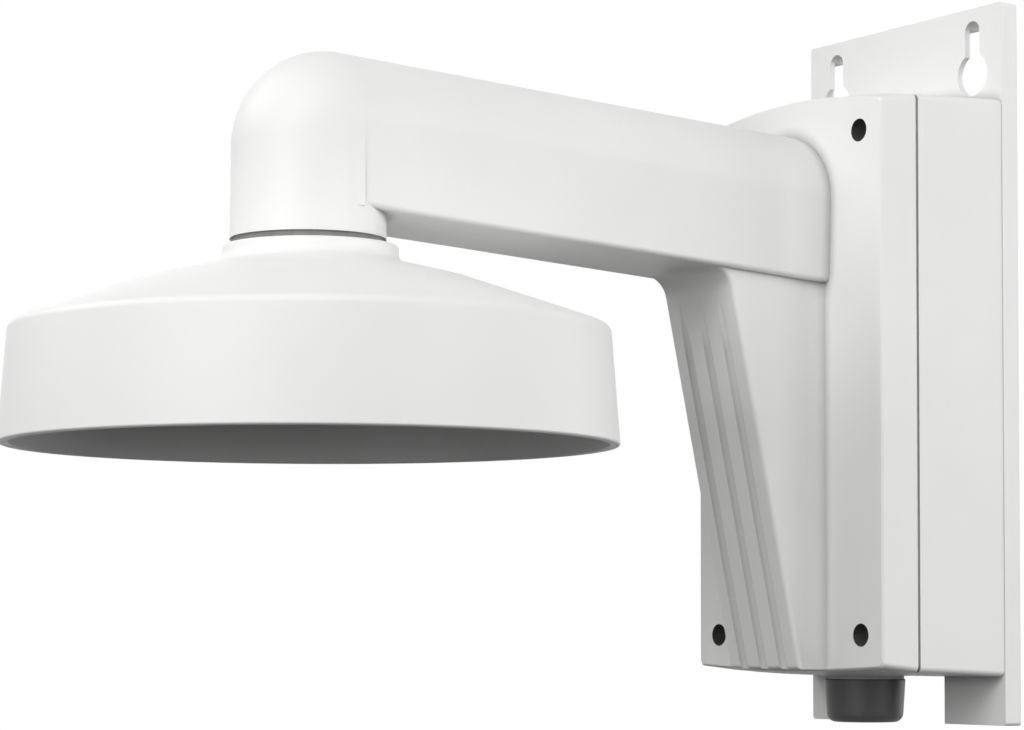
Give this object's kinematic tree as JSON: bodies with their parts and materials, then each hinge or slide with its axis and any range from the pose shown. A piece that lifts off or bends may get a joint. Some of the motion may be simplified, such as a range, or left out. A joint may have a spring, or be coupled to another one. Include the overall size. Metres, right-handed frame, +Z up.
{
  "type": "camera bracket",
  "caption": "White cast wall bracket for a dome camera: junction box with back plate, level arm on a leg, round cap under the elbow.",
  "frame": {"origin": "on the wall plane, the back face of the plate, at the middle of the junction box", "axes": "+Y into the wall, so the arm points to -Y; +Z up; +X to the right as seen by someone facing the wall"},
  "size_m": [0.1549, 0.2792, 0.1991],
  "materials": {
    "box_white": "satin",
    "arm_white": "satin",
    "cap_white": "satin",
    "seal_grey": "matte",
    "screw_steel": "satin",
    "washer_steel": "satin",
    "washer_nylon": "matte",
    "plug_black": "satin"
  },
  "bodies": {
    "root": {"junction_box": "box_white", "box_gasket": "seal_grey", "bracket_arm": "arm_white", "cover_screws": "screw_steel", "cover_washers": "washer_nylon", "cap": "cap_white", "cap_seal": "seal_grey", "cap_screws": "screw_steel", "cap_washers": "washer_steel", "conduit_plug": "plug_black", "plug_seal": "seal_grey"}
  },
  "joints": []
}
